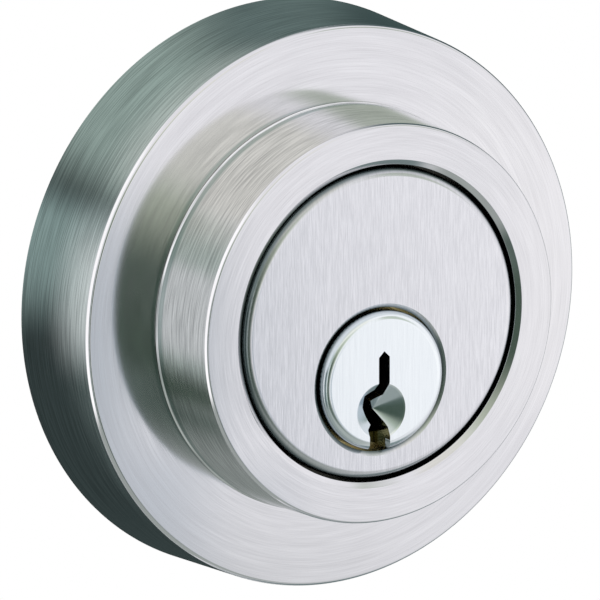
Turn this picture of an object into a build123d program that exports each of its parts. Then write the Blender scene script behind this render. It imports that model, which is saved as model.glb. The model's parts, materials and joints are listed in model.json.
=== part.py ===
from build123d import *
import os
from math import cos, hypot, radians, sin, sqrt, tan

# Outside half of a deadbolt door lock, in millimetres.
# The door's outer face is the plane y = 0 and -Y points out of the door, towards the key.
# +Z is up, +X is to the right seen from outside, and the origin is the rose's centre on the door.

# Fits and gaps
running_fit = 0.05  # radial clearance of a piece that turns or slides in its bore
seat_fit = 0.05  # clearance of a piece that is fixed in its hole
end_play = 0.1  # axial clearance of a piece that turns between two faces
collar_gap = 0.3  # clearance of the loose collar round and behind the cylinder
collar_lift = 0.06  # gap between the collar's foot and the face of the rose

# Plug
plug_d = 12.7
plug_drop = 6.2  # the plug's axis lies this far below the axis of the lock
flange_lip = 1.37  # the flange stands out this far round the plug
flange_seat = 2.4  # the flange's back lies this far behind the cylinder's face
plug_face_proud = 0.8
flange_edge_r = 0.7
flange_gap = 0.28  # dark ring between flange and cylinder face
flange_hole_chamfer_w = 0.45
flange_hole_chamfer_depth = 0.35

# Keyway, measured from the plug's axis
keyway_w = 1.38
keyway_top = 3.36
keyway_shoulder = 2.68
keyway_straight_z = -0.15  # end of the straight upper run
keyway_knee_step = 0.37  # sideways step of the knee
keyway_knee_left_z = -0.9
keyway_knee_right_z = -1.7
keyway_ward_step = 1.75  # sideways step of the ward
keyway_ward_right_z = -2.3
keyway_ward_top_z = -1.4
keyway_ward_base_z = -2.75
keyway_waist_z = -4.85
keyway_waist_left = 1.3
keyway_waist_right = 0.55
keyway_foot_z = -5.3
keyway_foot_left = 1.85
keyway_foot_right = 0.75
countersink_d = 6.2
countersink_depth = 1.85
countersink_x = -0.4
countersink_z = -3.3

# Pin stacks
first_pin = 6.0  # from the cylinder's face to the first pin
pin_pitch = 3.96
pin_d = 2.9
key_cuts = (2, 4, 1, 3, 2)  # depth of each cut of the key that fits
shortest_key_pin = 4.2
cut_step = 0.38
key_pin_tip_d = 0.8
pin_end_break = 0.2
driver_len = 4.6
key_pin_inset = 0.2  # flat key pin ends stay this far inside the round plug
driver_gap = 0.1
least_drop = 0.6  # room under the longest key pin
spring_d = 2.6
spring_wire = 0.35
spring_cover_w = 4.0
spring_cover_t = 1.2
spring_cover_margin = 1.2

# Cylinder
barrel_floor = 1.6  # wall below the plug
head_overhang = 3.12
head_t = 3.7
head_edge_r = 1.1
anti_drill_d = 2.0
anti_drill_wall = 0.75
anti_drill_depth = 1.0  # the pins end this far under the barrel's surface
anti_drill_setback = 1.6  # from the back of the head

# Collar
collar_projection = 9.7  # from the face of the rose
draft_deg = 2.4  # taper of the cast walls
face_gap = 0.28  # dark ring between cylinder face and collar
ring_width = 4.55
collar_edge_r = 0.7
ring_chamfer_w = 0.6
ring_chamfer_depth = 0.45
collar_flare = 0.14  # the foot stands out this far past the wall
collar_flare_h = 0.27
collar_flare_t = 0.05  # thickness of the foot's edge
lip_t = 2.0
collar_seat = 3.7  # width of the foot that lies on the rose
spigot_wall = 1.7
spigot_reach = 0.8  # the spigot passes this far behind the face plate of the rose

# Rose
rose_depth = 13.3
rose_ledge = 8.64  # from the collar's foot to the front edge of the rose
rose_wall = 1.8
rose_face_t = 2.0
rose_edge_r = 0.8
rose_rim_break = 0.3
rose_screw_count = 3
rose_boss_d = 4.8
rose_boss_gap = 0.9
rose_screw_d = 2.5
rose_screw_bite = 6.0
rose_screw_head_d = 4.4
rose_screw_head_t = (rose_screw_head_d - rose_screw_d) / 2

# Support plate and posts
plate_t = 2.5
plate_gap = 0.2  # between plate and rose
cup_wall = 2.0
cup_floor_t = 2.2
post_d = 7.0
post_len = 10.0
post_gap = 0.9  # between post and cup
post_shank_d = 5.0
post_rivet_d = 8.0
post_rivet_t = 1.2
post_thread_d = 3.8  # tapped for a number 10 through bolt
post_thread_depth = 8.5
pilot_gap = 1.0  # between posts and pilot ring
pilot_wall = 1.5
pilot_h = 1.6

# Cylinder screws
cylinder_screw_d = 3.0
cylinder_screw_head_d = 5.4
cylinder_screw_head_t = 1.8
cylinder_screw_bite = 8.0
cylinder_screw_inset = 4.3  # from the barrel's surface
cylinder_screw_angle = 30.0

# Holes, cuts and screw slots on every piece
drill_margin = 0.6  # a drilled hole is this much deeper than its screw
cut_margin = 1.0  # an open cut runs this far past the metal
countersink_taper = 45.0
drive_slot_w = 0.6
drive_slot_depth = 0.5

# Tailpiece and its retainer
tail_w = 5.2
tail_t = 2.0
tail_reach = 42.0  # behind the door's face
tail_tip_chamfer = 0.7
tail_head_w = 3.0
tail_head_t = 2.4
tail_head_wall = 1.45  # plug wall left round the tailpiece's head
tail_head_gap = 0.2
tail_stop_gap = 0.1
recess_wall = 1.1  # between the last pin and the tailpiece's head
retainer_lip = 1.2  # overlap on the barrel's back
retainer_t = 1.5
retainer_gap = 0.4
retainer_screw_d = 1.6
retainer_screw_bite = 4.0
retainer_screw_head_d = 3.2
retainer_screw_head_t = 1.0
retainer_screw_inset = 1.6  # from the plug's surface

# Radii, worked out from the plug outwards
draft = tan(radians(draft_deg))
plug_r = plug_d / 2
plug_bore_r = plug_r + running_fit
flange_r = plug_r + flange_lip
flange_hole_r = flange_r + flange_gap
barrel_r = plug_drop + plug_bore_r + barrel_floor
head_r = barrel_r + head_overhang
lip_r = barrel_r + collar_gap
ring_r = head_r + face_gap
collar_front_r = ring_r + ring_width
collar_foot_r = collar_front_r + collar_projection * draft
collar_flare_top_r = collar_foot_r - collar_flare_h * draft
spigot_r = collar_foot_r - collar_seat
spigot_in_r = spigot_r - spigot_wall
rose_hole_r = spigot_r + collar_gap
rose_front_r = collar_foot_r + rose_ledge
rose_back_r = rose_front_r + rose_depth * draft
rose_in_front_r = rose_front_r - rose_wall
rose_in_back_r = rose_back_r - rose_wall
rose_boss_r = rose_boss_d / 2
rose_boss_circle_r = rose_hole_r + rose_boss_gap + rose_boss_r
cup_in_r = barrel_r + seat_fit
cup_r = cup_in_r + cup_wall
post_r = post_d / 2
post_x = cup_r + post_gap + post_r
pilot_in_r = post_x + post_r + pilot_gap
pilot_r = pilot_in_r + pilot_wall
plate_r = rose_in_back_r - plate_t * draft - plate_gap
pin_r = pin_d / 2
chamber_r = pin_r + running_fit
tail_head_r = plug_r - tail_head_wall - tail_head_gap
recess_r = tail_head_r + tail_head_gap
tail_sweep_r = hypot(tail_w, tail_t) / 2
retainer_hole_r = tail_sweep_r + tail_head_gap
retainer_r = plug_bore_r + retainer_lip
retainer_screw_circle_r = plug_r - retainer_screw_inset
cylinder_screw_circle_r = barrel_r - cylinder_screw_inset

# Depths, along Y
rose_face_y = -rose_depth
rose_face_back_y = rose_face_y + rose_face_t
collar_foot_y = rose_face_y - collar_lift
collar_flare_y = collar_foot_y - collar_flare_t
collar_flare_top_y = collar_flare_y - collar_flare_h
spigot_end_y = rose_face_back_y + spigot_reach
face_y = rose_face_y - collar_projection
plug_face_y = face_y - plug_face_proud
head_back_y = face_y + head_t
lip_front_y = head_back_y + collar_gap
lip_back_y = lip_front_y + lip_t
flange_back_y = face_y + flange_seat
flange_floor_y = flange_back_y + end_play
pin_ys = [face_y + first_pin + i * pin_pitch for i in range(len(key_cuts))]
recess_floor_y = pin_ys[-1] + chamber_r + recess_wall
keyway_end_y = recess_floor_y - recess_wall
tail_head_front_y = recess_floor_y + end_play
plug_back_y = tail_head_front_y + tail_head_t + end_play
barrel_back_y = plug_back_y - end_play
retainer_back_y = plug_back_y + retainer_t
cup_back_y = barrel_back_y + cup_floor_t

# Heights, along Z
plug_z = -plug_drop
shear_z = plug_z + plug_r
key_pin_top_z = shear_z - key_pin_inset
key_pin_lens = [shortest_key_pin + cut * cut_step for cut in key_cuts]
chamber_floor_z = key_pin_top_z - max(key_pin_lens) - least_drop
driver_z = shear_z + driver_gap
spring_z = driver_z + driver_len + seat_fit
cover_top_z = sqrt(barrel_r**2 - (spring_cover_w / 2) ** 2)
cover_z = cover_top_z - spring_cover_t
anti_drill_r = anti_drill_d / 2
anti_drill_x = spring_cover_w / 2 + anti_drill_wall + anti_drill_r
anti_drill_z = plug_z + sqrt(plug_bore_r**2 - anti_drill_x**2) + anti_drill_wall
anti_drill_top_z = sqrt(barrel_r**2 - (anti_drill_x + anti_drill_r) ** 2) - anti_drill_depth

# Keyway, from the plug's axis
keyway_half = keyway_w / 2
keyway_bottom = -flange_r - cut_margin

# Places that several pieces share
plug_axis = Axis((0, 0, plug_z), (0, 1, 0))
plug_plane = Plane(origin=(0, 0, plug_z), x_dir=(1, 0, 0), z_dir=(0, 0, 1))
countersink_plane = Plane(
    origin=(countersink_x, 0, plug_z + countersink_z), x_dir=(0, 0, -1), z_dir=(1, 0, 0)
)
cover_front_y = pin_ys[0] - chamber_r - spring_cover_margin
cover_back_y = pin_ys[-1] + chamber_r + spring_cover_margin
anti_drill_y = head_back_y + anti_drill_setback
anti_drill_places = [(-anti_drill_x, anti_drill_y), (anti_drill_x, anti_drill_y)]
post_places = [(-post_x, 0), (post_x, 0)]
cylinder_screw_places = [
    (side * cylinder_screw_circle_r * cos(radians(cylinder_screw_angle)),
     cylinder_screw_circle_r * sin(radians(cylinder_screw_angle)))
    for side in (-1, 1)
]
rose_screw_places = [
    (rose_boss_circle_r * cos(radians(90 + i * 360 / rose_screw_count)),
     rose_boss_circle_r * sin(radians(90 + i * 360 / rose_screw_count)))
    for i in range(rose_screw_count)
]
tail_stop_offset = tail_head_w / 2 + tail_stop_gap + recess_r / 2
tail_stop_places = [
    (-tail_stop_offset, tail_stop_offset),
    (tail_stop_offset, -tail_stop_offset),
]
retainer_screw_offset = retainer_screw_circle_r * sqrt(0.5)
retainer_screw_places = [
    (-retainer_screw_offset, retainer_screw_offset),
    (retainer_screw_offset, -retainer_screw_offset),
]

os.makedirs("parts", exist_ok=True)


def across(y):
    """The plane across the lock at depth y: its first axis is X, its second is Z."""
    return Plane.XZ.offset(-y)


def across_plug(y):
    """The same plane with its origin on the plug's axis."""
    return Plane(origin=(0, y, plug_z), x_dir=(1, 0, 0), z_dir=(0, -1, 0))


def corner(sketch, x, y):
    """The corner of a sketch that lies nearest to a point of its plane."""
    return sketch.vertices().sort_by_distance((x, y, 0))[0]


def save(piece, name):
    """Label a finished piece and write it."""
    piece.label = name
    export_step(piece, f"parts/{name}.step")


# Rose: a cast cup with a tapered wall, a flat face and screw bosses inside
with BuildPart() as rose:
    with BuildSketch() as rose_profile:
        with BuildLine():
            Polyline(
                (rose_back_r, 0),
                (rose_front_r, rose_face_y),
                (rose_hole_r, rose_face_y),
                (rose_hole_r, rose_face_back_y),
                (rose_in_front_r, rose_face_back_y),
                (rose_in_back_r, 0),
                close=True,
            )
        make_face()
        fillet(corner(rose_profile, rose_front_r, rose_face_y), rose_edge_r)
        chamfer(corner(rose_profile, rose_back_r, 0), rose_rim_break)
    revolve(axis=Axis.Y)
    with BuildSketch(across(-plate_t)):
        with Locations(*rose_screw_places):
            Circle(rose_boss_r)
    extrude(amount=rose_face_t / 2 - plate_t - rose_face_back_y)
    with BuildSketch(across(-plate_t)):
        with Locations(*rose_screw_places):
            Circle(rose_screw_d / 2 + seat_fit)
    extrude(amount=rose_screw_bite + drill_margin, mode=Mode.SUBTRACT)
save(rose.part, "rose")

# Collar: a loose cast ring whose inner lip is trapped behind the cylinder's head
with BuildPart() as collar:
    with BuildSketch() as collar_profile:
        with BuildLine():
            Polyline(
                (collar_foot_r + collar_flare, collar_foot_y),
                (collar_foot_r + collar_flare, collar_flare_y),
                (collar_flare_top_r, collar_flare_top_y),
                (collar_front_r, face_y),
                (ring_r + ring_chamfer_w, face_y),
                (ring_r, face_y + ring_chamfer_depth),
                (ring_r, lip_front_y),
                (lip_r, lip_front_y),
                (lip_r, lip_back_y),
                (spigot_in_r, lip_back_y),
                (spigot_in_r, spigot_end_y),
                (spigot_r, spigot_end_y),
                (spigot_r, collar_foot_y),
                close=True,
            )
        make_face()
        fillet(corner(collar_profile, collar_front_r, face_y), collar_edge_r)
    revolve(axis=Axis.Y)
save(collar.part, "collar")

# Cylinder body: head and round barrel, bored for the plug and drilled for the pins
with BuildPart() as cylinder_body:
    with BuildSketch() as cylinder_profile:
        with BuildLine():
            Polyline(
                (0, face_y),
                (head_r, face_y),
                (head_r, head_back_y),
                (barrel_r, head_back_y),
                (barrel_r, barrel_back_y),
                (0, barrel_back_y),
                close=True,
            )
        make_face()
        fillet(corner(cylinder_profile, head_r, face_y), head_edge_r)
    revolve(axis=Axis.Y)
    with BuildSketch(plug_plane):
        with BuildLine():
            Polyline(
                (0, face_y),
                (flange_hole_r + flange_hole_chamfer_w, face_y),
                (flange_hole_r, face_y + flange_hole_chamfer_depth),
                (flange_hole_r, flange_floor_y),
                (plug_bore_r, flange_floor_y),
                (plug_bore_r, barrel_back_y),
                (0, barrel_back_y),
                close=True,
            )
        make_face()
    revolve(axis=plug_axis, mode=Mode.SUBTRACT)
    with BuildSketch(Plane.XY.offset(plug_z)):
        with Locations(*[(0, y) for y in pin_ys]):
            Circle(chamber_r)
    extrude(amount=barrel_r + plug_drop, mode=Mode.SUBTRACT)
    with BuildSketch(Plane.XY.offset(cover_z)):
        with Locations((0, (cover_front_y + cover_back_y) / 2)):
            Rectangle(spring_cover_w + 2 * seat_fit, cover_back_y - cover_front_y + 2 * seat_fit)
    extrude(amount=barrel_r, mode=Mode.SUBTRACT)
    with BuildSketch(Plane.XY.offset(anti_drill_z)):
        with Locations(*anti_drill_places):
            Circle(anti_drill_r + seat_fit)
    extrude(amount=barrel_r + plug_drop, mode=Mode.SUBTRACT)
    with BuildSketch(across(barrel_back_y)):
        with Locations(*cylinder_screw_places):
            Circle(cylinder_screw_d / 2 + seat_fit)
    extrude(amount=cylinder_screw_bite + drill_margin, mode=Mode.SUBTRACT)
save(cylinder_body.part, "cylinder_body")

# Plug: flanged rotor with keyway, pin chambers and a two-way recess for the tailpiece
with BuildPart() as plug:
    with BuildSketch(plug_plane) as plug_profile:
        with BuildLine():
            Polyline(
                (0, plug_face_y),
                (flange_r, plug_face_y),
                (flange_r, flange_back_y),
                (plug_r, flange_back_y),
                (plug_r, plug_back_y),
                (0, plug_back_y),
                close=True,
            )
        make_face()
        fillet(corner(plug_profile, flange_r, plug_face_y), flange_edge_r)
    revolve(axis=plug_axis)
    with BuildSketch(countersink_plane):
        with BuildLine():
            Polyline(
                (0, plug_face_y),
                (countersink_d / 2, plug_face_y),
                (0, plug_face_y + countersink_depth),
                close=True,
            )
        make_face()
    revolve(axis=Axis(countersink_plane.origin, (0, 1, 0)), mode=Mode.SUBTRACT)
    with BuildSketch(across_plug(keyway_end_y)):
        with BuildLine():
            Polyline(
                (0, keyway_top),
                (keyway_half, keyway_shoulder),
                (keyway_half, keyway_straight_z),
                (keyway_half - keyway_knee_step, keyway_knee_right_z),
                (keyway_half - keyway_ward_step, keyway_ward_right_z),
                (keyway_waist_right, keyway_waist_z),
                (keyway_foot_right, keyway_foot_z),
                (keyway_foot_right, keyway_bottom),
                (-keyway_foot_left, keyway_bottom),
                (-keyway_foot_left, keyway_foot_z),
                (-keyway_waist_left, keyway_waist_z),
                (-keyway_half - keyway_ward_step, keyway_ward_base_z),
                (-keyway_half - keyway_ward_step, keyway_ward_top_z),
                (-keyway_half - keyway_knee_step, keyway_knee_left_z),
                (-keyway_half, keyway_straight_z),
                (-keyway_half, keyway_shoulder),
                close=True,
            )
        make_face()
    extrude(amount=keyway_end_y - plug_face_y + cut_margin, mode=Mode.SUBTRACT)
    with BuildSketch(Plane.XY.offset(chamber_floor_z)):
        with Locations(*[(0, y) for y in pin_ys]):
            Circle(chamber_r)
    extrude(amount=plug_d, mode=Mode.SUBTRACT)
    with BuildSketch(across_plug(plug_back_y)):
        Circle(recess_r)
        with Locations(*tail_stop_places):
            Rectangle(recess_r, recess_r, mode=Mode.SUBTRACT)
    extrude(amount=plug_back_y - recess_floor_y, mode=Mode.SUBTRACT)
    with BuildSketch(across_plug(plug_back_y)):
        with Locations(*retainer_screw_places):
            Circle(retainer_screw_d / 2 + seat_fit)
    extrude(amount=retainer_screw_bite + drill_margin, mode=Mode.SUBTRACT)
save(plug.part, "plug")

# Pin stacks: a pointed key pin in the plug, a driver above the shear line, and its spring
for number, (pin_y, key_pin_len) in enumerate(zip(pin_ys, key_pin_lens), start=1):
    with BuildPart() as key_pin:
        with BuildSketch(Plane.XY.offset(key_pin_top_z - key_pin_len)):
            with Locations((0, pin_y)):
                Circle(pin_r)
        extrude(amount=key_pin_len)
        chamfer(key_pin.edges().sort_by(Axis.Z)[0], pin_r - key_pin_tip_d / 2)
        chamfer(key_pin.edges().sort_by(Axis.Z)[-1], pin_end_break)
    save(key_pin.part, f"key_pin_{number}")

    with BuildPart() as driver_pin:
        with BuildSketch(Plane.XY.offset(driver_z)):
            with Locations((0, pin_y)):
                Circle(pin_r)
        extrude(amount=driver_len)
        chamfer(driver_pin.edges().filter_by(GeomType.CIRCLE), pin_end_break)
    save(driver_pin.part, f"driver_pin_{number}")

    with BuildPart() as pin_spring:
        with BuildSketch(Plane.XY.offset(spring_z)):
            with Locations((0, pin_y)):
                Circle(spring_d / 2)
                Circle(spring_d / 2 - spring_wire, mode=Mode.SUBTRACT)
        extrude(amount=cover_z - seat_fit - spring_z)
    save(pin_spring.part, f"pin_spring_{number}")

# Spring cover: a strip that closes the chambers and is flush with the barrel
with BuildPart() as spring_cover:
    with BuildSketch(across(cover_front_y)):
        with BuildLine():
            cover_edges = Polyline(
                (-spring_cover_w / 2, cover_top_z),
                (-spring_cover_w / 2, cover_z),
                (spring_cover_w / 2, cover_z),
                (spring_cover_w / 2, cover_top_z),
            )
            ThreePointArc(cover_edges @ 1, (0, barrel_r), cover_edges @ 0)
        make_face()
    extrude(amount=cover_front_y - cover_back_y)
save(spring_cover.part, "spring_cover")

# Hardened pins beside the first pin stack
with BuildPart() as anti_drill_pins:
    with BuildSketch(Plane.XY.offset(anti_drill_z)):
        with Locations(*anti_drill_places):
            Circle(anti_drill_r)
    extrude(amount=anti_drill_top_z - anti_drill_z)
save(anti_drill_pins.part, "anti_drill_pins")

# Tailpiece: a cross head that turns freely between the plug's stops, and a flat blade
with BuildPart() as tailpiece:
    with BuildSketch(across_plug(tail_head_front_y)):
        Circle(tail_head_r)
        Rectangle(tail_head_w, 2 * tail_head_r, mode=Mode.INTERSECT)
    extrude(amount=-tail_head_t)
    with BuildSketch(across_plug(tail_head_front_y)):
        Rectangle(tail_t, tail_w)
    extrude(amount=tail_head_front_y - tail_reach)
    chamfer(tailpiece.faces().sort_by(Axis.Y)[-1].edges(), tail_tip_chamfer)
save(tailpiece.part, "tailpiece")

# Retainer: a washer on the plug's back that traps the tailpiece and holds the plug in its bore
with BuildPart() as tailpiece_retainer:
    with BuildSketch(across_plug(plug_back_y)):
        Circle(retainer_r)
        Circle(retainer_hole_r, mode=Mode.SUBTRACT)
        with Locations(*retainer_screw_places):
            Circle(retainer_screw_d / 2 + seat_fit, mode=Mode.SUBTRACT)
    extrude(amount=-retainer_t)
save(tailpiece_retainer.part, "tailpiece_retainer")

with BuildPart() as retainer_screws:
    with BuildSketch(across_plug(retainer_back_y)):
        with Locations(*retainer_screw_places):
            Circle(retainer_screw_d / 2)
    extrude(amount=retainer_t + retainer_screw_bite)
    with BuildSketch(across_plug(retainer_back_y)):
        with Locations(*retainer_screw_places):
            Circle(retainer_screw_head_d / 2)
    extrude(amount=-retainer_screw_head_t)
    with BuildSketch(across_plug(retainer_back_y + retainer_screw_head_t)):
        with Locations(*retainer_screw_places):
            Rectangle(retainer_screw_head_d, drive_slot_w)
    extrude(amount=drive_slot_depth, mode=Mode.SUBTRACT)
save(retainer_screws.part, "retainer_screws")

# Support plate: closes the rose, holds the barrel in a cup and centres the lock in the door's bore
with BuildPart() as support_plate:
    with BuildSketch():
        with BuildLine():
            Polyline(
                (0, barrel_back_y),
                (cup_in_r, barrel_back_y),
                (cup_in_r, -plate_t),
                (plate_r, -plate_t),
                (plate_r, 0),
                (pilot_r, 0),
                (pilot_r, pilot_h),
                (pilot_in_r, pilot_h),
                (pilot_in_r, 0),
                (cup_r, 0),
                (cup_r, cup_back_y),
                (0, cup_back_y),
                close=True,
            )
        make_face()
    revolve(axis=Axis.Y)
    with BuildSketch(across(cup_back_y)):
        with Locations((0, plug_z)):
            Circle(retainer_r + retainer_gap)
        with Locations(*cylinder_screw_places):
            Circle(cylinder_screw_d / 2 + seat_fit)
    extrude(amount=cup_floor_t, mode=Mode.SUBTRACT)
    with BuildSketch(across(0)):
        with Locations(*post_places):
            Circle(post_shank_d / 2 + seat_fit)
        with Locations(*rose_screw_places):
            Circle(rose_screw_d / 2 + seat_fit)
    extrude(amount=plate_t, mode=Mode.SUBTRACT)
    with BuildSketch(across(0)):
        with Locations(*rose_screw_places):
            Circle(rose_screw_head_d / 2 + seat_fit)
    extrude(amount=rose_screw_head_t, taper=countersink_taper, mode=Mode.SUBTRACT)
save(support_plate.part, "support_plate")

# Mounting posts: riveted to the plate and tapped for the through bolts from the inside half
with BuildPart() as mounting_posts:
    with BuildSketch(across(post_len)):
        with Locations(*post_places):
            Circle(post_r)
    extrude(amount=post_len)
    with BuildSketch(across(0)):
        with Locations(*post_places):
            Circle(post_shank_d / 2)
    extrude(amount=plate_t)
    with BuildSketch(across(-plate_t)):
        with Locations(*post_places):
            Circle(post_rivet_d / 2)
    extrude(amount=post_rivet_t)
    with BuildSketch(across(post_len)):
        with Locations(*post_places):
            Circle(post_thread_d / 2)
    extrude(amount=post_thread_depth, mode=Mode.SUBTRACT)
save(mounting_posts.part, "mounting_posts")

# Screws that hold the cylinder in the cup of the support plate
with BuildPart() as cylinder_screws:
    with BuildSketch(across(cup_back_y)):
        with Locations(*cylinder_screw_places):
            Circle(cylinder_screw_d / 2)
    extrude(amount=cup_floor_t + cylinder_screw_bite)
    with BuildSketch(across(cup_back_y)):
        with Locations(*cylinder_screw_places):
            Circle(cylinder_screw_head_d / 2)
    extrude(amount=-cylinder_screw_head_t)
    with BuildSketch(across(cup_back_y + cylinder_screw_head_t)):
        with Locations(*cylinder_screw_places):
            Rectangle(cylinder_screw_head_d, drive_slot_w)
    extrude(amount=drive_slot_depth, mode=Mode.SUBTRACT)
save(cylinder_screws.part, "cylinder_screws")

# Countersunk screws that hold the rose on the support plate
with BuildPart() as rose_screws:
    with BuildSketch(across(0)):
        with Locations(*rose_screw_places):
            Circle(rose_screw_d / 2)
    extrude(amount=plate_t + rose_screw_bite)
    with BuildSketch(across(0)):
        with Locations(*rose_screw_places):
            Circle(rose_screw_head_d / 2)
    extrude(amount=rose_screw_head_t, taper=countersink_taper)
    with BuildSketch(across(0)):
        with Locations(*rose_screw_places):
            Rectangle(rose_screw_head_d, drive_slot_w)
    extrude(amount=drive_slot_depth, mode=Mode.SUBTRACT)
save(rose_screws.part, "rose_screws")
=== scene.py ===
"""Looks of the outside half of a deadbolt lock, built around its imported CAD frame."""

import json
import logging
from dataclasses import dataclass, field, replace
from enum import Enum
from math import cos, pi, radians, sin, tan

import bpy
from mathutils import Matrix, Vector

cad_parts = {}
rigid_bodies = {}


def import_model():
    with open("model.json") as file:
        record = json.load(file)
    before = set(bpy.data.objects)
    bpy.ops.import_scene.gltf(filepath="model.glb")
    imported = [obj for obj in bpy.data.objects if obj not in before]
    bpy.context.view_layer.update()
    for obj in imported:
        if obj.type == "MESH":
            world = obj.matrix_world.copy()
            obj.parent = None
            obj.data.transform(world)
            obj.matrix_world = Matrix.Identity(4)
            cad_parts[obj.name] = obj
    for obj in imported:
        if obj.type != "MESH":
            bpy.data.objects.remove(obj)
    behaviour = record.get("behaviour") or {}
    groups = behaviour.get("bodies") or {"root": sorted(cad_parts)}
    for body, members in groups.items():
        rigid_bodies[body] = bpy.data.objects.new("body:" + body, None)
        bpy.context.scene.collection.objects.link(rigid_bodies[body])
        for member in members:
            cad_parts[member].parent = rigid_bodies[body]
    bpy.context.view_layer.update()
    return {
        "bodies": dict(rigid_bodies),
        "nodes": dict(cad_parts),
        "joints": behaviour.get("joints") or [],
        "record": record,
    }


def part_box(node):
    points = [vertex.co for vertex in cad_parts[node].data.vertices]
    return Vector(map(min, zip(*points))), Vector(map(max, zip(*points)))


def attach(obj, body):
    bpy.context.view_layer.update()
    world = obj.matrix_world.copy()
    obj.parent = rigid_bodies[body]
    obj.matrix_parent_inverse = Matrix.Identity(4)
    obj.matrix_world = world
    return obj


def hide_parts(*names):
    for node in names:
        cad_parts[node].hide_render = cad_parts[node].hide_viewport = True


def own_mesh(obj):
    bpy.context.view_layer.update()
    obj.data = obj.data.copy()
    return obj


Colour = tuple[float, float, float]
Frame = dict[str, object]
Socket = bpy.types.NodeSocket

LOG = logging.getLogger("deadbolt")
MM = 0.001
WHITE = (1.0, 1.0, 1.0)
WELD_DISTANCE = 0.0005 * MM
TURNED_SMOOTHING = radians(28)
NOISE_ROUGHNESS = 0.6


class Grain(Enum):
    """How a surface was worked, which sets the way its fine lines run."""

    AROUND = "brushed round the lock's axis"
    UPRIGHT = "brushed straight up and down"
    TURNED = "turned on a lathe about an upright axis"
    DRAWN = "drawn or rolled along the lock's axis"
    CAST = "cast, with no lines"


def rgba(colour: Colour) -> tuple[float, float, float, float]:
    """The colour with full opacity, as shader sockets take it."""
    return (*colour, 1.0)


def direction(azimuth: float, elevation: float) -> Vector:
    """Unit vector from the lock towards a point of the studio.

    Args:
        azimuth: Degrees from the front, positive to the right seen from outside.
        elevation: Degrees above the horizon.

    Returns:
        The unit vector in the lock's frame.
    """
    turn, rise = radians(azimuth), radians(elevation)
    return Vector((sin(turn) * cos(rise), -cos(turn) * cos(rise), sin(rise)))


@dataclass(frozen=True)
class Corner:
    """A corner of a turned outline: its radius and depth, and how far it is rounded."""

    radius: float
    depth: float
    rounding: float = 0.0

    def place(self) -> Vector:
        """The corner as a point of the outline's plane."""
        return Vector((self.radius, self.depth))


def rounded(outline: list[Corner], steps: int = 10, hold: float = 0.04 * MM) -> list[Vector]:
    """Trace a closed outline with its corners rounded.

    Args:
        outline: The corners in order.
        steps: Facets along each rounding.
        hold: Room for the ring that keeps a flat run flat beside a rounding.

    Returns:
        The points of the outline, each a radius and a depth.
    """
    points = []
    for index, corner in enumerate(outline):
        here = corner.place()
        if not corner.rounding:
            points.append(here)
            continue
        before = (outline[index - 1].place() - here).normalized()
        after = (outline[(index + 1) % len(outline)].place() - here).normalized()
        half = before.angle(after) / 2
        reach = corner.rounding / tan(half)
        centre = here + (before + after).normalized() * (corner.rounding / sin(half))
        first, last = here + before * reach - centre, here + after * reach - centre
        sweep = first.angle_signed(last)
        points.append(here + before * (reach + hold))
        for step in range(steps + 1):
            turn = sweep * step / steps
            arm = Vector((
                first.x * cos(turn) + first.y * sin(turn),
                first.y * cos(turn) - first.x * sin(turn),
            ))
            points.append(centre + arm)
        points.append(here + after * (reach + hold))
    return points


def turned(name: str, outline: list[Corner], segments: int = 256) -> bpy.types.Object:
    """Turn a closed outline round the lock's axis, ring by ring.

    Args:
        name: Name of the new piece.
        outline: The corners in order.
        segments: Facets round the axis.

    Returns:
        The finished piece.
    """
    points = rounded(outline)
    radius, depth = points[0]
    bpy.ops.object.select_all(action="DESELECT")
    bpy.ops.mesh.primitive_circle_add(
        vertices=segments, radius=radius, fill_type="NOTHING", location=(0, depth, 0), rotation=(pi / 2, 0, 0)
    )
    piece = bpy.context.object
    piece.name = name
    bpy.ops.object.transform_apply(location=True, rotation=True, scale=True)
    bpy.ops.object.mode_set(mode="EDIT")
    bpy.ops.mesh.select_all(action="SELECT")
    for point in (*points[1:], points[0]):
        growth = point.x / radius
        bpy.ops.mesh.extrude_edges_move()
        bpy.ops.transform.resize(value=(growth, 1, growth), center_override=(0, depth, 0))
        bpy.ops.transform.translate(value=(0, point.y - depth, 0))
        radius, depth = point
    bpy.ops.mesh.select_all(action="SELECT")
    bpy.ops.mesh.remove_doubles(threshold=WELD_DISTANCE)
    bpy.ops.mesh.normals_make_consistent(inside=False)
    bpy.ops.object.mode_set(mode="OBJECT")
    bpy.ops.object.shade_smooth_by_angle(angle=TURNED_SMOOTHING)
    return piece


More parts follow.
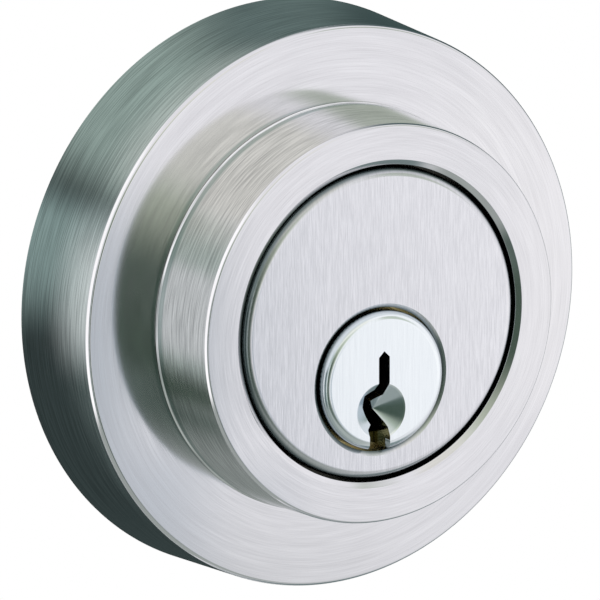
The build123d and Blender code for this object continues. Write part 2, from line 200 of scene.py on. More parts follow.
class Graph:
    """A node tree with short calls that add and join its nodes."""

    def __init__(self, tree: bpy.types.NodeTree) -> None:
        """Take over a tree and empty it.

        Args:
            tree: The node tree of a material or a world.
        """
        self.tree = tree
        tree.nodes.clear()

    def add(self, kind: str, inputs: dict | None = None, **settings: object) -> bpy.types.Node:
        """Add a node and fill its sockets.

        Args:
            kind: The node's type name.
            inputs: Socket name or index to a value, or to the output that feeds it.
            **settings: The node's own properties.

        Returns:
            The new node.
        """
        node = self.tree.nodes.new(kind)
        for name, value in settings.items():
            setattr(node, name, value)
        for key, value in (inputs or {}).items():
            if isinstance(value, Socket):
                self.tree.links.new(value, node.inputs[key])
            else:
                node.inputs[key].default_value = value
        return node

    def math(self, operation: str, first: object, second: object = 0.0) -> Socket:
        """Join two values by one arithmetic operation."""
        return self.add("ShaderNodeMath", {0: first, 1: second}, operation=operation).outputs[0]

    def noise(self, vector: Socket, detail: float, scale: float = 1.0) -> Socket:
        """Smooth noise between 0 and 1 at the given place."""
        sockets = {"Vector": vector, "Scale": scale, "Detail": detail, "Roughness": NOISE_ROUGHNESS}
        return self.add("ShaderNodeTexNoise", sockets).outputs[0]

    def span(self, value: Socket, low: float, high: float, start: float, end: float) -> Socket:
        """Map a value from low..high to start..end, held at both ends."""
        sockets = {0: value, 1: low, 2: high, 3: start, 4: end}
        return self.add("ShaderNodeMapRange", sockets, clamp=True).outputs[0]

    def smooth(self, value: Socket, low: float, high: float, start: float, end: float) -> Socket:
        """Map a value as span does, with rounded ends."""
        sockets = {0: value, 1: low, 2: high, 3: start, 4: end}
        return self.add("ShaderNodeMapRange", sockets, interpolation_type="SMOOTHSTEP").outputs[0]

    def flat(self, colour: Colour) -> Socket:
        """One even colour."""
        node = self.add("ShaderNodeRGB")
        node.outputs[0].default_value = rgba(colour)
        return node.outputs[0]

    def mix(self, factor: object, first: object, second: object) -> Socket:
        """Blend two colours."""
        sockets = {0: factor, 6: first, 7: second}
        return self.add("ShaderNodeMix", sockets, data_type="RGBA").outputs[2]

    def arm(self, place: Socket) -> tuple[Socket, Socket]:
        """The way from the lock's axis to a place, and its length.

        Args:
            place: Object coordinates.

        Returns:
            The vector at right angles to the axis, and the radius.
        """
        x, _, z = self.add("ShaderNodeSeparateXYZ", {0: place}).outputs
        flat = self.add("ShaderNodeCombineXYZ", {0: x, 2: z}).outputs[0]
        return flat, self.add("ShaderNodeVectorMath", {0: flat}, operation="LENGTH").outputs[1]

    def depth(self, place: Socket) -> Socket:
        """The depth of a place along the lock's axis."""
        return self.add("ShaderNodeSeparateXYZ", {0: place}).outputs[1]

    def seen(self) -> Socket:
        """One where the camera or a mirror looks, and nought where light only bounces."""
        path = self.add("ShaderNodeLightPath").outputs
        mirrored = self.math("MAXIMUM", path["Is Camera Ray"], path["Is Glossy Ray"])
        return self.math("MAXIMUM", mirrored, path["Is Transmission Ray"])


def node_material(name: str) -> tuple[bpy.types.Material, Graph]:
    """Make a material with an empty node tree.

    Args:
        name: Name of the material.

    Returns:
        The material and its nodes.
    """
    material = bpy.data.materials.new(name)
    material.use_nodes = True
    return material, Graph(material.node_tree)


@dataclass(frozen=True)
class DeepShade:
    """Painted shade deep in a gap, below where the plating ends: darkened brass, or near black."""

    colour: Colour
    shade_from: float
    within: float = 1.0
    fade: float = 0.4 * MM

    def cover(self, graph: Graph, place: Socket, colour: Socket) -> Socket:
        """Lay the painted shade under a plated colour.

        Args:
            graph: The material's nodes.
            place: Object coordinates.
            colour: The plated colour.

        Returns:
            The colour with painted shade in its depths.
        """
        _, radius = graph.arm(place)
        deep = graph.span(graph.depth(place), self.shade_from, self.shade_from + self.fade, 0.0, 1.0)
        inside = graph.math("LESS_THAN", radius, self.within)
        return graph.mix(graph.math("MULTIPLY", deep, inside), colour, rgba(self.colour))


@dataclass(frozen=True)
class Strip:
    """A band of painted shade round a wall or a rim, by a corner or a gap."""

    colour: Colour
    share: float
    start: float
    end: float
    fade: float = 0.5 * MM

    def cover(self, graph: Graph, place: Socket, colour: Socket) -> Socket:
        """Lay the band of painted shade over a colour.

        Args:
            graph: The material's nodes.
            place: Object coordinates.
            colour: The colour below.

        Returns:
            The colour with the painted shade on it.
        """
        depth = graph.depth(place)
        begun = graph.smooth(depth, self.start - self.fade, self.start, 0.0, self.share)
        ended = graph.math("LESS_THAN", depth, self.end)
        return graph.mix(graph.math("MULTIPLY", begun, ended), colour, rgba(self.colour))


@dataclass(frozen=True)
class Turning:
    """A turned edge or cone of a CAD node, shaded round where its facets are flat.

    The lean is the sine of the surface's tilt away from the axis, at the inner and outer radius.
    """

    centre: tuple[float, float]
    radii: tuple[float, float]
    lean: tuple[float, float]
    depth: tuple[float, float]
    facing: float = -0.3

    def bend(self, graph: Graph, place: Socket, normal: Socket) -> Socket:
        """Turn the facets' normals into those of the round surface.

        Args:
            graph: The material's nodes.
            place: Object coordinates.
            normal: The normal so far.

        Returns:
            The normal in world space.
        """
        x, y, z = graph.add("ShaderNodeSeparateXYZ", {0: place}).outputs
        arm = graph.add(
            "ShaderNodeCombineXYZ",
            {0: graph.math("SUBTRACT", x, self.centre[0]), 2: graph.math("SUBTRACT", z, self.centre[1])},
        ).outputs[0]
        radius = graph.add("ShaderNodeVectorMath", {0: arm}, operation="LENGTH").outputs[1]
        out = graph.add("ShaderNodeVectorMath", {0: arm}, operation="NORMALIZE").outputs[0]
        lean = graph.span(radius, *self.radii, *self.lean)
        ahead = graph.math("SQRT", graph.math("SUBTRACT", 1.0, graph.math("MULTIPLY", lean, lean)))
        front = graph.add("ShaderNodeCombineXYZ", {1: graph.math("MULTIPLY", ahead, -1.0)}).outputs[0]
        side = graph.add("ShaderNodeVectorMath", {0: out, 3: lean}, operation="SCALE").outputs[0]
        local = graph.add("ShaderNodeVectorMath", {0: side, 1: front}, operation="ADD").outputs[0]
        bent = graph.add(
            "ShaderNodeVectorTransform",
            {0: local},
            vector_type="NORMAL",
            convert_from="OBJECT",
            convert_to="WORLD",
        ).outputs[0]
        facet = graph.add("ShaderNodeNewGeometry").outputs["Normal"]
        facing = graph.add("ShaderNodeSeparateXYZ", {0: facet}).outputs[1]
        inside = graph.math("LESS_THAN", facing, self.facing)
        for value, (low, high) in ((radius, self.radii), (y, self.depth)):
            inside = graph.math("MULTIPLY", inside, graph.math("GREATER_THAN", value, low))
            inside = graph.math("MULTIPLY", inside, graph.math("LESS_THAN", value, high))
        sockets = {0: inside, 4: normal, 5: bent}
        return graph.add("ShaderNodeMix", sockets, data_type="VECTOR").outputs[1]


@dataclass(frozen=True)
class Finish:
    """One metal finish: its colour, its gloss, the lines of its working and any painted shade."""

    name: str
    colour: Colour
    line_colour: Colour
    roughness: float
    grain: Grain
    anisotropy: float = 0.0
    line_width: float = 0.10 * MM
    line_length: float = 9.0 * MM
    relief: float = 0.0012 * MM
    # Painted shade deep in a gap.
    deep_shade: DeepShade | None = None
    wall_from: float | None = None
    wall_contrast: float = 0.6
    wall_colour: Colour = (0.92, 0.92, 0.92)
    face_relief: float = 0.13
    broad_share: float = 0.4
    # A band of painted shade by a corner or a gap.
    strip: Strip | None = None
    turnings: tuple[Turning, ...] = ()
    grain_radius: float = 25 * MM
    grain_turn: float = 0.25
    broad_width: float = 7.0
    broad_length: float = 2.0
    scratch_width: float = 1.6
    scratch_colour: Colour = (0.36, 0.37, 0.37)
    scratch_span: tuple[float, float] = (0.40, 0.62)
    line_span: tuple[float, float] = (0.35, 0.65)
    rough_span: tuple[float, float] = (0.3, 0.7)
    rough_shares: tuple[float, float] = (1.25, 0.8)
    wall_fade: float = 0.3 * MM
    fine_detail: float = 3.0
    broad_detail: float = 2.0

    def lines(self, graph: Graph, place: Socket) -> tuple[Socket, Socket, Socket]:
        """Coordinates of the fine lines, the broad bands among them and the deeper scratches.

        Args:
            graph: The material's nodes.
            place: Object coordinates.

        Returns:
            Three vectors for noise: fine, broad and deep.
        """
        x, y, z = graph.add("ShaderNodeSeparateXYZ", {0: place}).outputs
        fine, slow = 1 / self.line_width, 1 / self.line_length
        if self.grain is Grain.CAST:
            scaled = graph.add("ShaderNodeVectorMath", {0: place, 3: fine}, operation="SCALE").outputs[0]
            broad = graph.add("ShaderNodeVectorMath", {0: place, 3: slow}, operation="SCALE").outputs[0]
            return scaled, broad, scaled
        if self.grain is Grain.AROUND:
            flat, radius = graph.arm(place)
            turn = graph.add("ShaderNodeVectorMath", {0: flat}, operation="NORMALIZE").outputs[0]
            cosine, _, sine = graph.add("ShaderNodeSeparateXYZ", {0: turn}).outputs
            across = graph.math("ADD", radius, y)
            along = tuple(graph.math("MULTIPLY", part, self.grain_radius) for part in (cosine, sine))
        elif self.grain is Grain.UPRIGHT:
            across = x
            along = (y, z)
        elif self.grain is Grain.TURNED:
            across = z
            along = (x, y)
        else:
            across = graph.math("ADD", x, z)
            along = (y, y)
        vectors = []
        broad = (fine / self.broad_width, slow / self.broad_length)
        for width, length in ((fine, slow), broad, (fine / self.scratch_width, slow)):
            parts = {
                0: graph.math("MULTIPLY", across, width),
                1: graph.math("MULTIPLY", along[0], length),
                2: graph.math("MULTIPLY", along[1], length),
            }
            vectors.append(graph.add("ShaderNodeCombineXYZ", parts).outputs[0])
        return tuple(vectors)

    def tangent(self, graph: Graph) -> Socket | None:
        """The direction that the grain spreads a highlight in, if it has one."""
        if self.grain is Grain.AROUND:
            return graph.add("ShaderNodeTangent", direction_type="RADIAL", axis="Y").outputs[0]
        if self.grain is Grain.UPRIGHT:
            return graph.add("ShaderNodeCombineXYZ", {0: 0.0, 1: 0.0, 2: 1.0}).outputs[0]
        return None

    def material(self) -> bpy.types.Material:
        """Make the finish as a procedural material.

        Returns:
            The new material.
        """
        material, graph = node_material(self.name)
        place = graph.add("ShaderNodeTexCoord").outputs["Object"]
        fine_place, broad_place, deep_place = self.lines(graph, place)
        fine = graph.noise(fine_place, self.fine_detail)
        broad = graph.noise(broad_place, self.broad_detail)
        fine_part = graph.math("MULTIPLY", fine, 1 - self.broad_share)
        both = graph.math("ADD", fine_part, graph.math("MULTIPLY", broad, self.broad_share))
        share = graph.span(both, *self.line_span, 0.0, 1.0)
        colour = graph.mix(share, rgba(self.line_colour), rgba(self.colour))
        if self.wall_from is not None:
            wall = graph.span(graph.depth(place), self.wall_from - self.wall_fade, self.wall_from, 0.0, 1.0)
            scratches = graph.noise(deep_place, self.broad_detail)
            deep = graph.span(scratches, *self.scratch_span, 0.0, self.wall_contrast)
            colour = graph.mix(wall, colour, rgba(self.wall_colour))
            colour = graph.mix(graph.math("MULTIPLY", wall, deep), colour, rgba(self.scratch_colour))
        # Painted shade: bands by corners and gaps, and darkened metal deep in gaps.
        for layer in (self.strip, self.deep_shade):
            if layer:
                colour = layer.cover(graph, place, colour)
        rough = graph.span(both, *self.rough_span, *(self.roughness * part for part in self.rough_shares))
        bump = graph.add("ShaderNodeBump", {"Height": fine, "Distance": self.relief, "Strength": 1.0})
        if self.wall_from is not None:
            graph.tree.links.new(graph.span(wall, 0.0, 1.0, self.face_relief, 1.0), bump.inputs["Strength"])
        if self.turnings:
            normal = graph.add("ShaderNodeNewGeometry").outputs["Normal"]
            for turning in self.turnings:
                normal = turning.bend(graph, place, normal)
            graph.tree.links.new(normal, bump.inputs["Normal"])
        shader = graph.add(
            "ShaderNodeBsdfPrincipled",
            {"Base Color": colour, "Metallic": 1.0, "Roughness": rough, "Normal": bump.outputs[0]},
        )
        tangent = self.tangent(graph)
        if tangent and self.anisotropy:
            shader.inputs["Anisotropic"].default_value = self.anisotropy
            shader.inputs["Anisotropic Rotation"].default_value = self.grain_turn
            graph.tree.links.new(tangent, shader.inputs["Tangent"])
        graph.add("ShaderNodeOutputMaterial", {0: shader.outputs[0]})
        return material


@dataclass
class Assembly:
    """A group of CAD nodes, with the pieces modelled around them."""

    frame: Frame
    finishes: dict[str, Finish] = field(default_factory=dict)
    materials: dict[str, bpy.types.Material] = field(default_factory=dict)

    def build(self) -> list[bpy.types.Object]:
        """Model the pieces that the CAD frame only stands in for."""
        return []

    def material_of(self, finish: Finish) -> bpy.types.Material:
        """The material of a finish, made once."""
        if finish.name not in self.materials:
            self.materials[finish.name] = finish.material()
        return self.materials[finish.name]

    def dress(self) -> None:
        """Give each CAD node of the group its finish."""
        for name, finish in self.finishes.items():
            self.frame["nodes"][name].material_slots[0].material = self.material_of(finish)
            LOG.info("%s: %s", name, finish.name)


SATIN_NICKEL = Finish(
    name="satin_nickel",
    colour=(0.82, 0.81, 0.83),
    line_colour=(0.70, 0.69, 0.71),
    roughness=0.105,
    grain=Grain.AROUND,
    anisotropy=0.4,
    line_length=6.0 * MM,
    relief=0.0026 * MM,
)
BRASS_COLOUR = (0.62, 0.44, 0.20)
# Brass below the plating, darkened as painted shade in the gaps.
SHADED_BRASS = (0.34, 0.28, 0.13)
# Near black painted shade, deep in the collar's bore.
GAP_SHADE = (0.035, 0.035, 0.03)


@dataclass
class Rose(Assembly):
    """The deep round cup on the door and the loose collar in front of it."""

    draft: float = tan(radians(2.4))
    wall: float = 1.8 * MM
    face_thickness: float = 2.0 * MM
    edge: float = 0.8 * MM
    edge_depth: float = 0.42 * MM
    edge_width: float = 0.17 * MM
    edge_roundings: tuple[float, float] = (0.7 * MM, 0.32 * MM)
    rim_break: float = 0.3 * MM
    hole_gap: float = 0.3 * MM
    collar_edge: float = 0.7 * MM
    collar_edge_depth: float = 0.36 * MM
    collar_edge_width: float = 0.14 * MM
    collar_edge_roundings: tuple[float, float] = (0.5 * MM, 0.22 * MM)
    flare: float = 0.14 * MM
    flare_height: float = 0.2 * MM
    # Height of the band of painted shade on the wall at the collar's foot.
    foot_shade_height: float = 1.1 * MM
    flare_thickness: float = 0.05 * MM
    collar_lift: float = 0.06 * MM
    ring_gap: float = 0.28 * MM
    ring_width: float = 4.55 * MM
    chamfer_width: float = 0.6 * MM
    chamfer_depth: float = 0.37 * MM
    soft_corner: float = 0.08 * MM
    head_thickness: float = 3.7 * MM
    lip_gap: float = 0.3 * MM
    lip_thickness: float = 2.0 * MM
    lip_overlap: float = 2.82 * MM
    seat: float = 3.7 * MM
    spigot_wall: float = 1.7 * MM
    # Painted shade, near black, deep in the collar's bore.
    bore_shade_depth: float = 0.8 * MM
    bore_fade: float = 0.5 * MM
    # Painted shade on the wall at the collar's foot, in the corner against the rose.
    foot_shade_colour: Colour = (0.30, 0.40, 0.38)
    foot_share: float = 0.65
    collar_relief: float = 0.0007 * MM
    collar_face_relief: float = 0.5

    def spigot_radius(self) -> float:
        """Radius of the collar's spigot, which turns in the rose's hole."""
        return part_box("collar")[1].x - self.flare - self.seat

    def foot(self) -> float:
        """Depth of the collar's foot, just off the rose's face."""
        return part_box("rose")[0].y - self.collar_lift

    def flare_top(self) -> float:
        """Depth at which the collar's foot has drawn in to its wall."""
        return self.foot() - self.flare_thickness - self.flare_height

    def shell(self) -> bpy.types.Object:
        """Turn the rose's cup."""
        low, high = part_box("rose")
        back, front_y = high.x, low.y
        front = back + front_y * self.draft
        hole = self.spigot_radius() + self.hole_gap
        inner_y = front_y + self.face_thickness
        return turned("rose_shell", [
            Corner(back - self.rim_break, 0),
            Corner(back - self.rim_break * self.draft, -self.rim_break),
            Corner(front + self.edge_depth * self.draft, front_y + self.edge_depth, self.edge_roundings[0]),
            Corner(front - self.edge_width, front_y, self.edge_roundings[1]),
            Corner(hole, front_y),
            Corner(hole, inner_y),
            Corner(front - self.wall, inner_y),
            Corner(back - self.wall, 0),
        ])

    def ring(self) -> bpy.types.Object:
        """Turn the collar."""
        low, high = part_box("collar")
        face = low.y
        foot, flare_top = self.foot(), self.flare_top()
        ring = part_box("cylinder_body")[1].x + self.ring_gap
        wall_foot = high.x - self.flare
        rim = ring + self.ring_width
        wall_side, face_side = self.collar_edge_roundings
        lip_front = face + self.head_thickness + self.lip_gap
        lip_back = lip_front + self.lip_thickness
        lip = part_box("cylinder_body")[1].x - self.lip_overlap
        spigot = self.spigot_radius()
        bore = spigot - self.spigot_wall
        return turned("collar_ring", [
            Corner(high.x, foot),
            Corner(high.x, foot - self.flare_thickness),
            Corner(wall_foot - (foot - flare_top) * self.draft, flare_top),
            Corner(rim + self.collar_edge_depth * self.draft, face + self.collar_edge_depth, wall_side),
            Corner(rim - self.collar_edge_width, face, face_side),
            Corner(ring + self.chamfer_width, face, self.soft_corner),
            Corner(ring, face + self.chamfer_depth, self.soft_corner),
            Corner(ring, lip_front),
            Corner(lip, lip_front),
            Corner(lip, lip_back),
            Corner(bore, lip_back),
            Corner(bore, high.y),
            Corner(spigot, high.y),
            Corner(spigot, foot),
        ])

    def build(self) -> list[bpy.types.Object]:
        """Turn both pieces in place of their faceted CAD solids."""
        shell, ring = self.shell(), self.ring()
        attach(shell, "housing")
        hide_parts("rose")
        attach(ring, "collar")
        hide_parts("collar")
        return [shell, ring]

    def dress(self) -> None:
        """Brush both pieces round their common axis, and paint shade into the collar's bore and onto its
        foot.
        """
        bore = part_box("cylinder_body")[1].x + self.ring_gap + self.chamfer_width / 2
        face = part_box("collar")[0].y
        # Painted shade, near black, deep in the collar's bore.
        deep_shade = DeepShade(GAP_SHADE, shade_from=face + self.bore_shade_depth, within=bore, fade=self.bore_fade)
        flare_top = self.flare_top()
        # Painted shade on the wall at the collar's foot, in the corner against the rose.
        foot_shade_from = flare_top - self.foot_shade_height / 2
        strip = Strip(self.foot_shade_colour, share=self.foot_share, start=foot_shade_from, end=flare_top)
        rose = replace(SATIN_NICKEL, wall_from=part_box("rose")[0].y + self.edge)
        collar = replace(
            SATIN_NICKEL,
            name="satin_nickel_collar",
            deep_shade=deep_shade,
            strip=strip,
            wall_from=face + self.collar_edge,
            relief=self.collar_relief,
            face_relief=self.collar_face_relief,
        )
        bpy.data.objects["rose_shell"].data.materials.append(self.material_of(rose))
        bpy.data.objects["collar_ring"].data.materials.append(self.material_of(collar))
        self.finishes = {"rose": rose, "collar": collar}
        super().dress()


@dataclass
class Cylinder(Assembly):
    """The cylinder's body and plug, plated on their faces and brass within."""

    bore_reach: float = 15.5 * MM
    plating_depth: float = 1.5 * MM
    rim: float = 1.1 * MM
    # Painted shade on the rounded rim of the cylinder's face, by the gap round it.
    rim_shade_depth: float = 0.36 * MM
    rim_shade_colour: Colour = (0.06, 0.10, 0.10)
    rim_share: float = 0.85
    plug_axis: tuple[float, float] = (0.0, -6.2 * MM)
    hole_radius: float = 8.0 * MM
    hole_chamfer: float = 0.45 * MM
    hole_lean: float = 0.5
    flange_radius: float = 7.72 * MM
    flange_rim: float = 1.0 * MM
    flange_facing: float = 0.5
    # Painted shade on the side of the plug's flange, by its gap.
    flange_shade_depth: float = 0.14 * MM
    flange_fade: float = 0.1 * MM
    flange_shade_colour: Colour = (0.42, 0.50, 0.55)
    flange_share: float = 0.5
    countersink_axis: tuple[float, float] = (-0.4 * MM, -9.5 * MM)
    countersink_radius: float = 3.1 * MM
    countersink_lean: float = 0.512
    countersink_start: float = 0.02 * MM
    countersink_depth: float = 1.85 * MM

    def body_turnings(self) -> tuple[Turning, ...]:
        """The rounded rim of the cylinder's face and the chamfer of its hole."""
        low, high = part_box("cylinder_body")
        hole = (self.hole_radius, self.hole_radius + self.hole_chamfer)
        lean = (-self.hole_lean, -self.hole_lean)
        depth = (low.y - self.rim, low.y + self.rim)
        return (
            Turning((0.0, 0.0), (high.x - self.rim, high.x), (0.0, 1.0), depth),
            Turning(self.plug_axis, hole, lean, depth),
        )

    def plug_turnings(self) -> tuple[Turning, ...]:
        """The rounded rim of the plug's flange and the cone that leads the key in."""
        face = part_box("plug")[0].y
        flange = (self.flange_radius - self.flange_rim, self.flange_radius + self.flange_rim)
        flange_depth = (face - self.rim, face + self.flange_rim)
        lean = (-self.countersink_lean, -self.countersink_lean)
        cone = (0.0, self.countersink_radius)
        cone_depth = (face + self.countersink_start, face + self.countersink_depth)
        return (
            Turning(self.plug_axis, flange, (0.0, 2.0), flange_depth, self.flange_facing),
            Turning(self.countersink_axis, cone, lean, cone_depth),
        )

    def dress(self) -> None:
        """Plate the faces and leave the depths brass, darkened as painted shade, with bands of painted shade
        by the gaps.
        """
        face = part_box("cylinder_body")[0].y
        plug_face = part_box("plug")[0].y
        bottom = face + self.plating_depth
        # Brass below the plating, darkened as painted shade in the gaps.
        bore = DeepShade(SHADED_BRASS, shade_from=bottom, within=self.bore_reach)
        deep_shade = DeepShade(SHADED_BRASS, shade_from=bottom)
        # Bands of painted shade on the face's rim and the flange's side, by the gaps.
        rim_from = face + self.rim_shade_depth
        flange_from = plug_face + self.flange_shade_depth
        body = Finish(
            name="satin_nickel_face",
            colour=(0.815, 0.81, 0.84),
            line_colour=(0.70, 0.695, 0.725),
            roughness=0.18,
            grain=Grain.UPRIGHT,
            anisotropy=0.5,
            line_width=0.10 * MM,
            line_length=2.2 * MM,
            relief=0.0006 * MM,
            deep_shade=bore,
            broad_share=0.06,
            strip=Strip(self.rim_shade_colour, self.rim_share, rim_from, bottom, self.rim_shade_depth),
            turnings=self.body_turnings(),
        )
        plug = Finish(
            name="bright_nickel",
            colour=(0.91, 0.945, 0.965),
            line_colour=(0.85, 0.885, 0.91),
            roughness=0.14,
            grain=Grain.UPRIGHT,
            anisotropy=0.4,
            line_width=0.05 * MM,
            line_length=4.0 * MM,
            relief=0.0006 * MM,
            deep_shade=deep_shade,
            strip=Strip(self.flange_shade_colour, self.flange_share, flange_from, bottom, self.flange_fade),
            turnings=self.plug_turnings(),
        )
        self.finishes = {"cylinder_body": body, "plug": plug}
        super().dress()


@dataclass
class PinStacks(Assembly):
    """Pins, springs and the strip that closes their chambers."""

    count: int = 5
    wire: float = 0.35 * MM
    turns: int = 7
    wire_sides: int = 10
    steps: int = 28
    smoothing: float = radians(50)

    def coil(self, number: int) -> bpy.types.Object:
        """Wind one spring in the place of its CAD tube.

        Args:
            number: Which stack, counted from the front.

        Returns:
            The finished coil, riding on the housing.
        """
        node = f"pin_spring_{number}"
        low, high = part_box(node)
        height = high.z - low.z
        mean_radius = (high.x - low.x - self.wire) / 2
        bpy.ops.object.select_all(action="DESELECT")
        bpy.ops.mesh.primitive_circle_add(
            vertices=self.wire_sides,
            radius=self.wire / 2,
            fill_type="NGON",
            location=(mean_radius, 0, 0),
            rotation=(pi / 2, 0, 0),
        )
        coil = bpy.context.object
        coil.name = f"coil_{number}"
        bpy.ops.object.transform_apply(location=True, rotation=True, scale=True)
        screw = coil.modifiers.new("wind", "SCREW")
        screw.axis = "Z"
        screw.screw_offset = (height - self.wire) / self.turns
        screw.iterations = self.turns
        screw.steps = screw.render_steps = self.steps
        screw.use_normal_calculate = True
        bpy.ops.object.modifier_apply(modifier=screw.name)
        coil.location = ((low.x + high.x) / 2, (low.y + high.y) / 2, low.z + self.wire / 2)
        bpy.ops.object.transform_apply(location=True, rotation=True, scale=True)
        bpy.ops.object.mode_set(mode="EDIT")
        bpy.ops.mesh.select_all(action="SELECT")
        bpy.ops.mesh.normals_make_consistent(inside=False)
        bpy.ops.object.mode_set(mode="OBJECT")
        bpy.ops.object.shade_smooth_by_angle(angle=self.smoothing)
        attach(coil, "housing")
        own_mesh(coil)
        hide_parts(node)
        return coil

    def build(self) -> list[bpy.types.Object]:
        """Wind the springs."""
        return [self.coil(number) for number in range(1, self.count + 1)]

    def dress(self) -> None:
        """Turned brass pins, bright wire and a brass strip."""
        brass = Finish(
            name="brass",
            colour=BRASS_COLOUR,
            line_colour=(0.52, 0.36, 0.15),
            roughness=0.28,
            grain=Grain.TURNED,
            line_width=0.12 * MM,
        )
        hardened = Finish(
            name="hardened_steel",
            colour=(0.36, 0.36, 0.37),
            line_colour=(0.26, 0.26, 0.28),
            roughness=0.3,
            grain=Grain.TURNED,
        )
        wire = Finish(
            name="spring_steel",
            colour=(0.62, 0.62, 0.63),
            line_colour=(0.50, 0.50, 0.52),
            roughness=0.22,
            grain=Grain.CAST,
            line_width=0.1 * MM,
            line_length=1.5 * MM,
        )
        for number in range(1, self.count + 1):
            self.finishes[f"key_pin_{number}"] = brass
            self.finishes[f"driver_pin_{number}"] = brass
            self.finishes[f"pin_spring_{number}"] = wire
            bpy.data.objects[f"coil_{number}"].data.materials.append(self.material_of(wire))
        self.finishes["spring_cover"] = brass
        self.finishes["anti_drill_pins"] = hardened
        super().dress()


@dataclass
class Back(Assembly):
    """What closes the rose from behind and reaches into the door."""

    def dress(self) -> None:
        """Cast zinc for the plate and plated steel for the rest."""
        zinc = Finish(
            name="cast_zinc",
            colour=(0.50, 0.51, 0.52),
            line_colour=(0.40, 0.41, 0.42),
            roughness=0.42,
            grain=Grain.CAST,
            line_width=0.5 * MM,
            line_length=6.0 * MM,
            relief=0.02 * MM,
        )
        steel = Finish(
            name="plated_steel",
            colour=(0.66, 0.66, 0.64),
            line_colour=(0.55, 0.55, 0.53),
            roughness=0.3,
            grain=Grain.DRAWN,
        )
        self.finishes = {"support_plate": zinc}
        for name in (
            "mounting_posts",
            "cylinder_screws",
            "rose_screws",
            "tailpiece",
            "tailpiece_retainer",
            "retainer_screws",
        ):
            self.finishes[name] = steel
        super().dress()


@dataclass(frozen=True)
class Patch:
    """A soft-edged area of the studio, placed by two measures.

    On the dome these are degrees across and up from the lock's front, on the door's board
    degrees above the lock's left side and millimetres from its axis. Each fades in between
    its first two values and out between its last two.
    """

    across: tuple[float, float, float, float]
    up: tuple[float, float, float, float]
    colour: Colour

    def paint(self, graph: Graph, turn: Socket, rise: Socket, under: Socket) -> Socket:
        """Lay the patch over what the panel shows so far.

        Args:
            graph: The panel's nodes.
            turn: The first measure.
            rise: The second measure.
            under: The colour below.

        Returns:
            The colour with the patch on it.
        """
        mask = 1.0
        for measure, (start, full, hold, end) in ((turn, self.across), (rise, self.up)):
            mask = graph.math("MULTIPLY", graph.smooth(measure, start, full, 0.0, 1.0), mask)
            mask = graph.math("MULTIPLY", graph.smooth(measure, hold, end, 1.0, 0.0), mask)
        return graph.mix(mask, under, rgba(self.colour))


def show_in_mirrors(
    panel: bpy.types.Object, material: bpy.types.Material, graph: Graph, shade: Socket
) -> None:
    """Let a panel of the studio glow, and keep it out of everything but reflections.

    Args:
        panel: The panel.
        material: Its material.
        graph: The material's nodes.
        shade: The colours that it glows in.
    """
    glow = graph.add("ShaderNodeEmission", {0: shade, 1: 1.0})
    graph.add("ShaderNodeOutputMaterial", {0: glow.outputs[0]})
    panel.data.materials.append(material)
    panel.visible_camera = False
    panel.visible_diffuse = False
    panel.visible_transmission = False
    panel.visible_shadow = False


ALL_ROUND = (-181, -180, 180, 181)
WHOLE_WIDTH = (30, 31, 60, 61)
TENT = (0.97, 0.975, 1.0)


